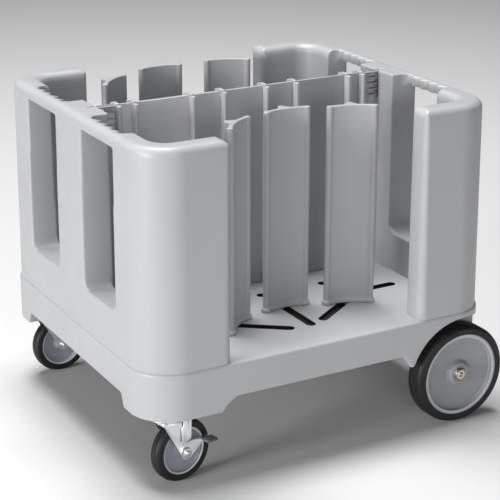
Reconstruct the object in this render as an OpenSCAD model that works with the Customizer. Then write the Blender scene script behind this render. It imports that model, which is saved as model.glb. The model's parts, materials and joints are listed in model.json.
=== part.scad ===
// Dish caddy: a wheeled tray with two end walls, a lift-out divider and six sliding towers.
// X runs from the swivel caster end to the big wheel end, Y across the width, Z up from the floor.

/* [Body] */
// Length of the base from end to end, without the wheels
base_l = 930; // [700:10:1200]
// Width of the base
base_w = 840; // [640:10:1000]
// Radius of the base corners seen from above
corner_r = 104; // [60:2:140]
// Height of the end walls above the deck
wall_h = 511; // [400:1:700]
// Height of the skirt's lower edge above the underside of the lobes
lobe_drop = 31.5; // [16:0.5:50]
// Thickness of the deck
deck_t = 12; // [6:1:20]
// Thickness of the skirt
skirt_t = 10; // [6:1:20]
// Radius on the upper edge of the base
ledge_r = 5; // [2:0.5:8]
// Fine step below the rounded upper edge of the base
ledge_step = 0.4; // [0.2:0.1:1.5]

/* [Lobes] */
// Gap between the end of a caster lobe and the nearest guide nut
lobe_gap = 3.2; // [1:0.1:30]
// Width of the flat underside of a caster lobe
lobe_w = 133; // [110:1:180]
// Length of the ramp at the end of a caster lobe
lobe_ramp = 36; // [10:1:60]
// Length of the ramp at the inner side of a caster lobe
lobe_side_ramp = 13; // [5:1:30]
// Flat tip ahead of a wheel arch, as a share of the space up to the nearest guide nut
fin_flat_share = 0.136; // [0.05:0.01:0.3]
// Ramp of that tip, as a share of the same space
fin_ramp_share = 0.34; // [0.1:0.01:0.6]
// Shares of its length and its rise at which a ramp bends
ramp_bend_shares = [0.4, 0.55];

/* [End walls] */
// Step from the edge of the base in to the foot of a wall
wall_step = 4; // [1:0.5:10]
// Lean of the outer wall face from foot to top
wall_draft = 5; // [0:0.5:12]
// Distance from the edge of the base to the inner face of a wall
wall_in = 74; // [50:1:100]
// Lean of the inner wall face from foot to top
wall_in_draft = 3; // [0:0.5:8]
// Radius of the inner corner between wall and return
inner_corner_r = 46; // [20:1:70]
// Distance from the end of the base to the free end of a return
return_l = 213; // [150:1:280]
// Radius on the upright edges at the free end of a return
return_r = 20; // [6:1:26]
// Radius on the top edges of the walls
rim_r = 19; // [8:1:26]

/* [Windows and grips] */
// Share of the half width from the middle to the near side of a window
window_near_share = 0.1738; // [0.12:0.01:0.24]
// Share of the half width from the middle to the far side of a window
window_far_share = 0.5905; // [0.43:0.01:0.64]
// Height of the window sill above the deck
sill_h = 99; // [60:1:200]
// Radius of the lower window corners
window_r = 24; // [8:1:40]
// Height of a grip bar
grip_h = 29; // [16:1:60]
// Distance from the edge of the base to the inner side of a grip bar
grip_in = 51; // [40:1:60]
// Share of its spacing that one finger scallop takes
scallop_share = 0.971; // [0.7:0.01:1.2]
// Number of finger scallops on one grip bar
scallop_n = 5; // [3:1:6]

/* [Divider posts] */
// Height that a post stands out from the wall
post_out = 7; // [3:0.5:12]
// Radius on the upright edges of a post
post_r = 5; // [2:0.5:6]
// Width of the pocket that takes the divider end
pocket_w = 14; // [10:0.5:24]
// Depth of the pocket in a post
pocket_in = 20; // [10:0.5:30]

/* [Divider] */
// Thickness of the divider panel
panel_t = 8; // [4:0.5:14]
// Drop from the top of the walls to the top of the divider
panel_drop = 2; // [0:0.5:10]
// Gap between the deck and the lower edge of the divider
panel_lift = 15; // [5:1:40]
// Gap between a post and the end of the divider panel
panel_gap = 9; // [5:0.5:30]
// Thickness of one rung at the divider ends
rung_t = 8; // [4:0.5:10]
// Gap between the end of a rung and the bottom of its pocket
rung_gap = 2; // [0.5:0.5:8]
// Height spacing of the rungs
rung_pitch = 14.7; // [10:0.1:18]
// Number of rungs at each end
rung_n = 5; // [3:1:5]
// Thickness of one upright flange
flange_t = 9; // [5:0.5:14]
// Reach of a flange from the middle of the panel
flange_out = 26; // [15:1:36]
// Shares of the half length of the panel at which the flanges stand
flange_shares = [0.1547, 0.3787, 0.776, 0.888];
// Height of the tab on top of a flange
tab_h = 4; // [2:0.5:8]
// Reach of the tab from the middle of the panel
tab_out = 13; // [10:0.5:20]

/* [Towers] */
// Width of a tower between the middles of its edge beads
tower_w = 108; // [80:1:130]
// Thickness of the tower wall
tower_t = 11; // [7:0.5:14]
// Radius of the inner hollow of a tower
tower_bow_r = 150; // [100:5:300]
// Radius of an edge bead
bead_r = 8; // [6:0.5:10]
// Distance from the bead line to the back of the middle ridge
ridge_back = 36; // [30:1:44]
// Width of the middle ridge at its tip
ridge_w = 16; // [8:1:24]
// Width of the middle ridge at its root
ridge_root_w = 46; // [24:1:60]
// Drop from the top of the walls to the top of a tower
tower_drop = 15; // [5:1:200]
// Height of the thick band at the foot of a tower
foot_h = 9; // [5:1:20]
// Distance that the foot band stands out
foot_out = 4; // [2:0.5:6]
// Distance from the bead line to the guide bolt
bolt_back = 18; // [12:1:22]
// Bead line of the front left tower, in shares of the length and the half width
front_left_shares = [0.3525, -0.5562];
// Bead line of the front middle tower, in the same shares
front_mid_shares = [0.5188, -0.4381];
// Bead line of the front right tower, in the same shares
front_right_shares = [0.6806, -0.5471];
// Bead line of the back left tower, in the same shares
back_left_shares = [0.2731, 0.6655];
// Bead line of the back middle tower, in the same shares
back_mid_shares = [0.4505, 0.8524];
// Bead line of the back right tower, in the same shares
back_right_shares = [0.6532, 0.819];
// Turn of a left tower about its upright axis
left_turn_deg = 41; // [0:1:60]
// Turn of a middle tower about its upright axis
mid_turn_deg = 0; // [-20:1:20]
// Turn of a right tower about its upright axis
right_turn_deg = -19.8; // [-45:1:0]

/* [Deck slots] */
// Play of a guide bolt across its slot
slot_play = 1; // [0.6:0.1:4]
// Run of a slot ahead of a resting tower, as a share of the length
slot_run_share = 0.1527; // [0.09:0.01:0.18]
// Run of a slanted slot behind a resting front tower, as a share of the length
slot_back_share = 0.0602; // [0.03:0.01:0.08]
// Play between a slot end and the guide bolt
slot_end_gap = 1; // [0.5:0.5:4]
// Direction of a left slot
left_slot_deg = -36.5; // [-60:0.5:0]
// Direction of a middle slot
mid_slot_deg = -90; // [-100:0.5:-80]
// Direction of a right slot
right_slot_deg = 214; // [180:0.5:240]
// Direction of a spare slanted slot
spare_slot_deg = -29; // [-50:0.5:0]
// Run of a slanted spare slot, as a share of the length
spare_run_share = 0.1075; // [0.06:0.01:0.13]
// Near ends of the slanted spare slots, in shares of the length and the half width
spare_slanted_shares = [[0.6914, -0.1952], [0.5032, -0.1905], [0.5032, 0.3381], [0.6914, 0.3143]];
// Near ends of the spare slots along the length, in the same shares
spare_straight_shares = [[0.7742, -0.4095], [0.7742, 0.5095]];
// Run of a spare slot along the length, as a share of the length
straight_run_share = 0.0882; // [0.04:0.01:0.1]

/* [Guide bolts] */
// Diameter of a guide bolt
guide_d = 12; // [8:0.5:12]
// Diameter of the flange of a guide nut
guide_nut_d = 34; // [24:1:40]
// Thickness of the flange of a guide nut
guide_nut_flange_t = 4; // [2:0.5:8]
// Size of the hexagon of a guide nut across its corners
guide_nut_hex_d = 22; // [16:1:26]
// Height of the hexagon of a guide nut
guide_nut_h = 10; // [6:1:14]
// Depth of a guide bolt inside its tower
guide_in = 45; // [20:1:80]
// Length of a guide bolt below its nut
guide_tip = 5; // [2:1:10]

/* [Big wheels] */
// Distance from the end of the base in to the big wheel axle
axle_in = 85; // [60:1:200]
// Diameter of a big wheel
wheel_d = 250; // [200:5:300]
// Width of a big wheel
wheel_w = 54; // [40:1:70]
// Distance from the side of the base in to the outer face of a big wheel
wheel_in = 3; // [1:0.5:10]
// Radius on the shoulders of the big tyre
tyre_r = 14; // [6:1:20]
// Height of the big tyre above its seat
tyre_h = 21; // [16:1:40]
// Width of the raised rim band of the hub
hub_band = 13; // [6:1:20]
// Depth of the dish in the hub face
hub_dish = 11; // [4:1:18]
// Radius of the hub boss
boss_r = 31; // [22:1:40]
// Inset of the hub boss from the tyre face
boss_in = 6; // [3:0.5:12]
// Thickness of an axle cap
axle_cap_t = 5; // [3:0.5:8]
// Depth of the axle end in its cap
axle_cap_in = 3; // [1:0.5:5]
// Width of the shoulder on the axle behind a wheel
shoulder_w = 8; // [4:1:14]
// Diameter of the shoulder on the axle
shoulder_d = 32; // [26:1:44]
// Inset of the hub rim from the tyre face
hub_in = 2; // [0:0.5:6]
// Diameter of the axle
axle_d = 20; // [12:1:26]
// Outer diameter of a wheel bush
bush_d = 30; // [24:1:36]
// Thickness of an axle washer
washer_t = 2.5; // [1:0.5:4]
// Diameter of an axle washer
washer_d = 42; // [32:1:50]
// Diameter of an axle cap
axle_cap_d = 34; // [26:1:40]
// Gap between a big wheel and its arch
arch_gap = 25; // [8:1:40]
// Thickness between the top of a wheel arch and the deck
arch_roof = 3; // [1:0.5:20]
// Depth of the wheel arch from the side of the base
arch_in = 72; // [60:1:100]
// Thickness of the skin around a wheel arch
arch_t = 8; // [5:1:14]

/* [Axle hangers] */
// Distance from the inner side of a wheel arch to an axle hanger
hanger_gap = 58; // [40:1:100]
// Thickness of the hanger plates
hanger_t = 5; // [3:0.5:8]
// Length of the hanger flange along the base
hanger_l = 110; // [80:1:140]
// Width of the hanger flange
hanger_w = 60; // [40:1:80]
// Spacing of the hanger bolts
hanger_bolt_pitch = 80; // [60:1:110]
// Radius of the hanger plate around the axle
hanger_eye_r = 20; // [14:1:26]

/* [Casters] */
// Distance from the end of the base to the swivel axis
caster_x = 81; // [60:1:120]
// Distance from the side of the base in to the swivel axis
caster_in = 62.6; // [50:0.1:160]
// Length of the caster plate
plate_l = 90; // [70:1:110]
// Width of the caster plate
plate_w = 70; // [60:1:90]
// Thickness of the caster plate
plate_t = 4.5; // [3:0.5:8]
// Bolt spacing along the caster plate
plate_pitch_l = 70; // [50:1:90]
// Bolt spacing across the caster plate
plate_pitch_w = 50; // [40:1:70]
// Diameter of the caster plate bolts
plate_bolt_d = 8; // [6:0.5:10]
// Diameter of the swivel race
race_d = 62; // [50:1:70]
// Height of the swivel race
race_h = 11.7; // [6:0.1:20]
// Diameter of the swivel pin
kingpin_d = 12; // [8:1:16]
// Distance from the swivel axis to the caster axle
trail = 29; // [15:1:40]
// Diameter of a caster wheel
caster_d = 152; // [100:2:160]
// Width of a caster wheel
caster_w = 32; // [24:1:40]
// Radius on the shoulders of the caster tyre
caster_tyre_r = 12; // [4:1:15]
// Height of the caster tyre above its seat
caster_tyre_h = 18; // [13:1:30]
// Thickness of the fork legs
fork_t = 4; // [3:0.5:6]
// Gap between a fork leg and the caster wheel
fork_gap = 3; // [1.5:0.5:6]
// Reach of a fork leg's top behind the swivel axis
fork_back_w = 31; // [20:1:35]
// Reach of a fork leg's top ahead of the swivel axis
fork_front_w = 45.5; // [30:0.5:60]
// Radius of a fork leg around the axle bolt
fork_eye_r = 15; // [10:1:20]
// Diameter of the caster axle bolt
caster_bolt_d = 10; // [8:0.5:14]
// Radius of the boss in a caster wheel
caster_boss_r = 17; // [12:0.5:24]
// Width of the raised rim band of a caster wheel
caster_band = 9; // [5:0.5:14]
// Depth of the dish in a caster wheel
caster_dish = 8; // [3:0.5:12]
// Thickness of the head of the swivel pin
pin_head_t = 3.5; // [2:0.5:4]
// Diameter of the head of the swivel pin
pin_head_d = 20; // [16:0.5:26]
// Thickness of the fork crown
crown_t = 5; // [3:0.5:8]
// Gap between the caster tyre and the fork crown
crown_gap = 3; // [2:0.5:8]
// Width of the raised rib on a fork leg
fork_rib_w = 14; // [8:1:20]
// Height that the rib stands out of a fork leg
fork_rib_t = 2.5; // [1:0.5:4]
// Swivel of the front caster at rest
front_swivel_deg = 10.75; // [0:0.25:45]
// Swivel of the back caster at rest
back_swivel_deg = 4.3; // [0:0.1:45]

/* [Brake] */
// Distance from the caster axle to the far end of the brake lever
brake_l = 56; // [40:1:66]
// Rise of the far end of the brake lever above the caster axle
brake_rise = 22; // [10:1:34]
// Thickness of the brake lever
brake_t = 4; // [3:0.5:6]
// Radius of the brake lever around the axle bolt
brake_eye_r = 17; // [13:0.5:22]
// Radius of the far end of the brake lever
brake_tip_r = 8; // [5:0.5:12]
// Reach of the pedal out from the lever
pedal_w = 24; // [16:1:34]
// Length of the pedal
pedal_l = 30; // [20:1:40]
// Thickness of the pedal
pedal_t = 9; // [5:1:12]

/* [Fastenings] */
// Diameter of the wall and hanger bolts
bolt_d = 8; // [6:0.5:10]
// Size of a bolt head across its corners
head_d = 15; // [12:0.5:18]
// Height of a bolt head
head_h = 6; // [4:0.5:8]
// Diameter of a washer under a bolt head
flat_d = 20; // [17:0.5:24]
// Thickness of a washer under a bolt head
flat_t = 1.6; // [1:0.1:3]
// Depth of a wall bolt inside the wall
wall_bolt_in = 40; // [20:1:80]
// Distance from the edge of the base to the wall bolts
wall_bolt_edge = 38; // [30:1:44]
// Share of the half width at which the outer wall bolts stand
wall_bolt_share = 0.5; // [0.36:0.01:0.62]
// Depth of a plate or hanger bolt in its moulding
blind_in = 30; // [15:1:60]

/* [Fit and finish] */
// Gap around a bolt in its hole
hole_play = 0.1; // [0.05:0.05:0.5]
// Gap between pieces that move past each other
play = 0.3; // [0.2:0.05:1]
// Gap around a turning shaft
shaft_play = 0.05; // [0.02:0.01:0.09]
// Overrun of a cut past the face it opens
over = 1; // [0.5:0.5:3]
// Thickness of the thin slices that shape the walls
slice = 0.5; // [0.1:0.1:1]

/* [Hidden] */

grey_plastic = [0.7, 0.7, 0.71];
wheel_grey = [0.45, 0.46, 0.48];
tyre_black = [0.1, 0.1, 0.11];
zinc = [0.72, 0.73, 0.75];
pedal_dark = [0.15, 0.15, 0.16];

half_w = base_w / 2;
wheel_r = wheel_d / 2;
hub_r = wheel_r - tyre_h;
axle_x = base_l - axle_in;
shift_x = -(axle_x + wheel_r) / 2;
caster_wheel_r = caster_d / 2;
caster_hub_r = caster_wheel_r - caster_tyre_h;
caster_y = half_w - caster_in;
crown_under_z = caster_d + crown_gap;
fork_top_z = crown_under_z + crown_t;
plate_under_z = fork_top_z + play + race_h;
lobe_z = plate_under_z + plate_t;
skirt_z = lobe_z + lobe_drop;
arch_r = wheel_r + arch_gap;
deck_under_z = wheel_r + arch_r + arch_roof;
deck_z = deck_under_z + deck_t;
wall_top_z = deck_z + wall_h;
sill_z = deck_z + sill_h;
grip_z = wall_top_z - grip_h;
window_near = half_w * window_near_share;
window_far = half_w * window_far_share;
scallop_pitch = (window_far - window_near) / scallop_n;
scallop_r = scallop_pitch * scallop_share / 2;
wall_bolt_y = half_w * wall_bolt_share;
panel_half_l = base_l / 2 - wall_in - post_out - panel_gap;
panel_low_z = deck_z + panel_lift;
rung_l = panel_gap + pocket_in - rung_gap;
panel_top_z = wall_top_z - panel_drop;
pocket_z = panel_top_z - (rung_n - 1) * rung_pitch - rung_t - play;
tower_foot_z = deck_z + play;
tower_top_z = wall_top_z - tower_drop;
slot_w = guide_d + slot_play;
slot_run = base_l * slot_run_share;
slot_back = base_l * slot_back_share;
hanger_y = half_w - arch_in - hanger_gap;
leg_in = caster_w / 2 + fork_gap;
leg_out = leg_in + fork_t;
wheel_face_y = half_w - wheel_in;
arch_reach = sqrt(arch_r * arch_r - (lobe_z - wheel_r) * (lobe_z - wheel_r));
arc_n = 64;
wheel_n = 96;
small_n = 32;
hex_n = 6;
rim_steps = [0, 30, 60, 90];
sides = [-1, 1];

// A rounded rectangle from x0 to x1 and y0 to y1.
module plate_2d(x0, x1, y0, y1, r) {
  translate([x0 + r, y0]) square([x1 - x0 - 2 * r, y1 - y0]);
  translate([x0, y0 + r]) square([x1 - x0, y1 - y0 - 2 * r]);
  for (x = [x0 + r, x1 - r])
    for (y = [y0 + r, y1 - r])
      translate([x, y]) circle(r = r, $fn = arc_n);
}

// A round bar along Z from z0 to z1.
module rod(d, z0, z1, n = small_n) {
  translate([0, 0, z0]) cylinder(d = d, h = z1 - z0, $fn = n);
}

// The base plan, drawn in from its edge by a distance.
module base_plan(inset) {
  plate_2d(inset, base_l - inset, -half_w + inset, half_w - inset, corner_r - inset);
}

// The place on the base that two shares name.
function spot(shares) = [shares[0] * base_l, shares[1] * half_w];

front_left_at = spot(front_left_shares);
front_mid_at = spot(front_mid_shares);
front_right_at = spot(front_right_shares);
back_left_at = spot(back_left_shares);
back_mid_at = spot(back_mid_shares);
back_right_at = spot(back_right_shares);

// Where a guide bolt stands for a tower at a place and turn.
function bolt_at(at, turn) = [at[0] - bolt_back * sin(turn), at[1] + bolt_back * cos(turn)];

lobe_l = bolt_at(back_left_at, left_turn_deg)[0] - guide_nut_d / 2 - lobe_gap - lobe_ramp;
fin_room = axle_x - arch_reach - bolt_at(back_right_at, right_turn_deg)[0] - guide_nut_d / 2;
fin_flat = fin_room * fin_flat_share;
fin_ramp = fin_room * fin_ramp_share;

// One straight slot of a given run from its start.
module slot_2d(at, turn, run, behind) {
  translate(at) rotate(turn) {
    translate([-behind, -slot_w / 2]) square([run + behind, slot_w]);
    translate([-behind, 0]) circle(d = slot_w, $fn = small_n);
    translate([run, 0]) circle(d = slot_w, $fn = small_n);
  }
}

module tower_slots() {
  slot_2d(bolt_at(front_left_at, left_turn_deg), left_slot_deg, slot_run, slot_back);
  slot_2d(bolt_at(front_mid_at, mid_turn_deg), mid_slot_deg, slot_run, slot_end_gap);
  slot_2d(bolt_at(front_right_at, right_turn_deg), right_slot_deg, slot_run, slot_back);
  slot_2d(bolt_at(back_left_at, left_turn_deg), left_slot_deg, slot_run, slot_end_gap);
  slot_2d(bolt_at(back_mid_at, mid_turn_deg), mid_slot_deg, slot_run, slot_end_gap);
  slot_2d(bolt_at(back_right_at, right_turn_deg), right_slot_deg, slot_run, slot_end_gap);
  for (at = spare_slanted_shares) slot_2d(spot(at), spare_slot_deg, base_l * spare_run_share, 0);
  for (at = spare_straight_shares) slot_2d(spot(at), 0, base_l * straight_run_share, 0);
}

// The underside profile of a lobe: flat, then a bent ramp up to the skirt.
module lobe_profile(flat, ramp) {
  rise = skirt_z - lobe_z;
  polygon([[-over, lobe_z], [flat, lobe_z],
    [flat + ramp * ramp_bend_shares[0], lobe_z + rise * ramp_bend_shares[1]],
    [flat + ramp, skirt_z], [flat + ramp, deck_under_z + over], [-over, deck_under_z + over]]);
}

// A profile in X and Z, drawn out across the width between two places.
module across(y0, y1) {
  translate([0, y1, 0]) rotate([90, 0, 0]) linear_extrude(y1 - y0) children();
}

// A profile in Y and Z, drawn out along the length between two places.
module along(x0, x1) {
  translate([x0, 0, 0]) rotate([90, 0, 90]) linear_extrude(x1 - x0) children();
}

// The block under one front caster corner.
module caster_lobe() {
  intersection() {
    translate([0, 0, lobe_z]) linear_extrude(deck_under_z + over - lobe_z) base_plan(0);
    across(-half_w - over, 0) lobe_profile(lobe_l, lobe_ramp);
    translate([0, -half_w, 0]) along(-over, base_l) lobe_profile(lobe_w, lobe_side_ramp);
  }
}

// The pointed block ahead of the front wheel arch.
module wheel_fin() {
  tip_x = axle_x - arch_reach - fin_flat;
  across(-half_w, -half_w + arch_in + arch_t)
    translate([axle_x, 0]) mirror([1, 0])
      intersection() {
        lobe_profile(axle_x - tip_x, fin_ramp);
        translate([arch_reach / 2, lobe_z]) square([axle_x, deck_under_z + over - lobe_z]);
      }
}

// The skin of the front wheel arch and the hollow inside it.
module arch(r, inner, outer) {
  translate([axle_x, -half_w - outer, wheel_r]) rotate([-90, 0, 0])
    cylinder(r = r, h = outer + inner, $fn = wheel_n);
}

module arch_skin() {
  intersection() {
    arch(arch_r + arch_t, arch_in + arch_t, 0);
    translate([0, 0, skirt_z]) linear_extrude(deck_under_z + over - skirt_z) base_plan(0);
  }
}

// The tray outside: an upright skirt below a rounded upper edge.
module tray_block() {
  translate([0, 0, skirt_z]) linear_extrude(deck_z - ledge_r - skirt_z) base_plan(0);
  hull()
    for (a = rim_steps)
      translate([0, 0, deck_z - ledge_r * (1 - sin(a)) - slice])
        linear_extrude(slice) base_plan(ledge_step + ledge_r * (1 - cos(a)));
}

module hanger_pads() {
  for (s = sides)
    translate([axle_x - hanger_l / 2, s * hanger_y - hanger_w / 2, skirt_z])
      cube([hanger_l, hanger_w, deck_under_z + over - skirt_z]);
}

// Places of the three bolts that hold the left wall.
module at_wall_bolts() {
  for (s = [-1, 0, 1]) translate([wall_bolt_edge, s * wall_bolt_y, 0]) children();
}

// Places of the four bolts of one caster plate.
module at_plate_bolts(s) {
  for (i = sides)
    for (j = sides)
      translate([caster_x + i * plate_pitch_l / 2, s * caster_y + j * plate_pitch_w / 2, 0]) children();
}

// The four bolts that hold the two axle hangers.
module at_hanger_bolts() {
  for (s = sides)
    for (i = sides)
      translate([axle_x + i * hanger_bolt_pitch / 2, s * hanger_y, 0]) children();
}

module other_end() {
  translate([base_l, 0, 0]) mirror([1, 0, 0]) children();
}

module both_sides() {
  children();
  mirror([0, 1, 0]) children();
}

module base() {
  color(grey_plastic) difference() {
    union() {
      difference() {
        tray_block();
        translate([0, 0, skirt_z - over]) linear_extrude(deck_under_z - skirt_z + over) base_plan(skirt_t);
      }
      both_sides() {
        caster_lobe();
        wheel_fin();
        arch_skin();
      }
      hanger_pads();
    }
    both_sides() arch(arch_r, arch_in, over);
    translate([0, 0, deck_under_z - over]) linear_extrude(deck_t + 2 * over) tower_slots();
    at_wall_bolts() rod(bolt_d + 2 * hole_play, deck_under_z - over, deck_z + over);
    other_end() at_wall_bolts() rod(bolt_d + 2 * hole_play, deck_under_z - over, deck_z + over);
    for (s = sides) at_plate_bolts(s) rod(plate_bolt_d + 2 * hole_play, lobe_z - over, lobe_z + blind_in);
    at_hanger_bolts() rod(bolt_d + 2 * hole_play, skirt_z - over, skirt_z + blind_in);
  }
}

// The plan of the space between the walls, drawn in from the edge of the base.
module inner_plan(inset) {
  plate_2d(inset, base_l - inset, -half_w + inset, half_w - inset, inner_corner_r);
}

module wall_outside() {
  hull() {
    translate([0, 0, deck_z]) linear_extrude(slice) base_plan(wall_step);
    for (a = rim_steps)
      translate([0, 0, wall_top_z - rim_r * (1 - sin(a)) - slice])
        linear_extrude(slice) base_plan(wall_step + wall_draft + rim_r * (1 - cos(a)));
  }
}

// One thin slice of the space between the walls at a step of the rim.
module rim_slice(a) {
  translate([0, 0, wall_top_z - rim_r * (1 - sin(a)) + over * sin(a)])
    linear_extrude(slice) inner_plan(wall_in - wall_in_draft - rim_r * (1 - cos(a)));
}

module wall_inside() {
  hull() {
    translate([0, 0, deck_z - over]) linear_extrude(slice) inner_plan(wall_in);
    rim_slice(rim_steps[0]);
  }
  for (i = [1 : len(rim_steps) - 1])
    hull() {
      rim_slice(rim_steps[i - 1]);
      rim_slice(rim_steps[i]);
    }
}

// The plan of one end wall with its two returns and their rounded free ends.
module wall_reach() {
  half_t = (wall_in - wall_step) / 2;
  translate([0, -half_w]) square([return_l - return_r, base_w]);
  for (s = sides)
    translate([0, s * (half_w - wall_step - half_t)])
      plate_2d(return_l - wall_in, return_l, -half_t, half_t, return_r);
}

// A profile with its upper right corner rounded, up to a given length.
module rounded_end(l, r) {
  translate([0, deck_z]) square([l - r, wall_top_z - deck_z]);
  translate([0, deck_z]) square([l, wall_top_z - deck_z - r]);
  translate([l - r, wall_top_z - r]) circle(r = r, $fn = arc_n);
}

module post() {
  intersection() {
    translate([0, 0, deck_z]) linear_extrude(wall_top_z - deck_z)
      plate_2d(grip_in, wall_in + post_out, -window_near, window_near, post_r);
    across(-window_far, window_far) rounded_end(wall_in + post_out, rim_r);
  }
}

// One window, with rounded lower corners, and the way in behind its grip bar.
module window() {
  along(-over, wall_in + post_out + over) {
    plate_2d(window_near, window_far, sill_z, grip_z, window_r);
    translate([window_near, sill_z + window_r])
      square([window_far - window_near, grip_z - sill_z - window_r]);
  }
  low_z = sill_z + window_r;
  translate([grip_in, window_near, low_z])
    cube([wall_in + post_out + over - grip_in, window_far - window_near, wall_top_z + over - low_z]);
  for (i = [0 : scallop_n - 1])
    translate([grip_in, (window_near + window_far) / 2 + (i - (scallop_n - 1) / 2) * scallop_pitch, 0])
      rod(2 * scallop_r, grip_z - over, wall_top_z + over, arc_n);
}

module pocket() {
  translate([wall_in + post_out - pocket_in, -pocket_w / 2, pocket_z])
    cube([pocket_in + over, pocket_w, wall_top_z + over - pocket_z]);
}

// One end wall: the left one, with both returns.
module end_wall() {
  color(grey_plastic) difference() {
    union() {
      intersection() {
        difference() {
          wall_outside();
          wall_inside();
        }
        translate([0, 0, deck_z]) linear_extrude(wall_top_z - deck_z) wall_reach();
        across(-half_w, half_w) rounded_end(return_l, rim_r);
      }
      post();
    }
    both_sides() window();
    pocket();
    at_wall_bolts() rod(bolt_d + 2 * hole_play, deck_z - over, deck_z + wall_bolt_in);
  }
}

module wall_left() { end_wall(); }

module wall_right() { other_end() end_wall(); }

// A hexagon bolt with its washer, pointing up from the face it bears on.
module bolt_up(d, face_z, depth) {
  rod(d, face_z - flat_t, face_z + depth);
  difference() {
    rod(flat_d, face_z - flat_t, face_z);
    rod(d, face_z - flat_t - over, face_z + over);
  }
  rod(head_d, face_z - flat_t - head_h, face_z - flat_t, hex_n);
}

module wall_bolt_set() {
  color(zinc) at_wall_bolts() bolt_up(bolt_d, deck_under_z, deck_t + wall_bolt_in);
}

module wall_bolts_left() { wall_bolt_set(); }

module wall_bolts_right() { other_end() wall_bolt_set(); }

// Both ends of the divider, drawn from its middle towards one end.
module both_ends() {
  translate([base_l / 2, 0, 0]) {
    children();
    mirror([1, 0, 0]) children();
  }
}

// The flat panel with the rungs at its ends and the tabs over its flanges.
module divider() {
  color(grey_plastic) both_ends() {
    translate([0, -panel_t / 2, panel_low_z]) cube([panel_half_l, panel_t, panel_top_z - panel_low_z]);
    for (i = [0 : rung_n - 1])
      translate([panel_half_l - over, -rung_t / 2, panel_top_z - rung_t - i * rung_pitch])
        cube([rung_l + over, rung_t, rung_t]);
    for (share = flange_shares)
      translate([panel_half_l * share - flange_t / 2, -tab_out, panel_top_z])
        cube([flange_t, 2 * tab_out, tab_h]);
  }
}

// The upright flanges that stiffen the panel on both of its faces.
module divider_flanges() {
  color(grey_plastic) both_sides() both_ends()
    for (share = flange_shares)
      translate([panel_half_l * share - flange_t / 2, panel_t / 2, panel_low_z])
        cube([flange_t, flange_out - panel_t / 2, panel_top_z - panel_low_z]);
}

// The section of a tower, grown by a distance: a bowed wall, two beads and a ridge.
module tower_section(grow) {
  half = tower_w / 2;
  mid_r = tower_bow_r + tower_t / 2;
  centre_y = -sqrt(mid_r * mid_r - half * half);
  intersection() {
    translate([0, centre_y]) difference() {
      circle(r = tower_bow_r + tower_t + grow, $fn = wheel_n);
      circle(r = tower_bow_r - grow, $fn = wheel_n);
    }
    translate([-half, -half]) square([tower_w, tower_w]);
  }
  for (s = sides) translate([s * half, 0]) circle(r = bead_r + grow, $fn = small_n);
  tip_y = ridge_back - ridge_w / 2;
  polygon([[-ridge_root_w / 2 - grow, tower_t / 2], [ridge_root_w / 2 + grow, tower_t / 2],
    [ridge_w / 2 + grow, tip_y], [-ridge_w / 2 - grow, tip_y]]);
  translate([0, tip_y]) circle(r = ridge_w / 2 + grow, $fn = small_n);
}

module tower(at, turn) {
  color(grey_plastic) translate(at) rotate(turn) difference() {
    union() {
      translate([0, 0, tower_foot_z]) linear_extrude(tower_top_z - tower_foot_z) tower_section(0);
      translate([0, 0, tower_foot_z]) linear_extrude(foot_h) tower_section(foot_out);
    }
    translate([0, bolt_back, 0]) rod(guide_d + 2 * hole_play, tower_foot_z - over, tower_foot_z + guide_in);
  }
}

module guide_bolt(at, turn) {
  nut_under_z = deck_under_z - play - guide_nut_flange_t - guide_nut_h;
  color(zinc) translate(bolt_at(at, turn)) rod(guide_d, nut_under_z - guide_tip, tower_foot_z + guide_in);
}

module guide_nut(at, turn) {
  top_z = deck_under_z - play;
  color(zinc) translate(bolt_at(at, turn)) difference() {
    union() {
      rod(guide_nut_d, top_z - guide_nut_flange_t, top_z);
      rod(guide_nut_hex_d, top_z - guide_nut_flange_t - guide_nut_h, top_z - guide_nut_flange_t, hex_n);
    }
    rod(guide_d + 2 * hole_play, top_z - guide_nut_flange_t - guide_nut_h - over, top_z + over);
  }
}

// A turned shape about the axle at the front side, its outer face first.
module on_axle() {
  translate([axle_x, -wheel_face_y, wheel_r]) rotate([-90, 0, 0]) children();
}

// A ring section between two radii and two depths.
module ring_2d(r0, r1, z0, z1) {
  translate([r0, z0]) square([r1 - r0, z1 - z0]);
}

// A tyre section: square at its seat, rounded at its shoulders.
module tyre_2d(seat_r, r, w, shoulder) {
  ring_2d(seat_r, r - shoulder, 0, w);
  intersection() {
    union() {
      ring_2d(seat_r, r, shoulder, w - shoulder);
      for (z = [shoulder, w - shoulder]) translate([r - shoulder, z]) circle(r = shoulder, $fn = small_n);
    }
    ring_2d(seat_r, r, 0, w);
  }
}

// A hub section: a rim band, a dished web and a boss.
module hub_2d(bore, boss, band, seat, w, rim_in, dish, boss_face) {
  ring_2d(seat - band, seat, rim_in, w - rim_in);
  ring_2d(boss - over, seat - band + over, rim_in + dish, w - rim_in - dish);
  ring_2d(bore, boss, boss_face, w - boss_face);
}

module big_tyre() {
  color(tyre_black) on_axle() rotate_extrude($fn = wheel_n) tyre_2d(hub_r, wheel_r, wheel_w, tyre_r);
}

module big_hub() {
  color(wheel_grey) on_axle() rotate_extrude($fn = wheel_n)
    hub_2d(bush_d / 2, boss_r, hub_band, hub_r, wheel_w, hub_in, hub_dish, boss_in);
}

module big_bush() {
  color(zinc) on_axle() rotate_extrude($fn = arc_n)
    ring_2d(axle_d / 2 + shaft_play, bush_d / 2, boss_in, wheel_w - boss_in);
}

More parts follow.
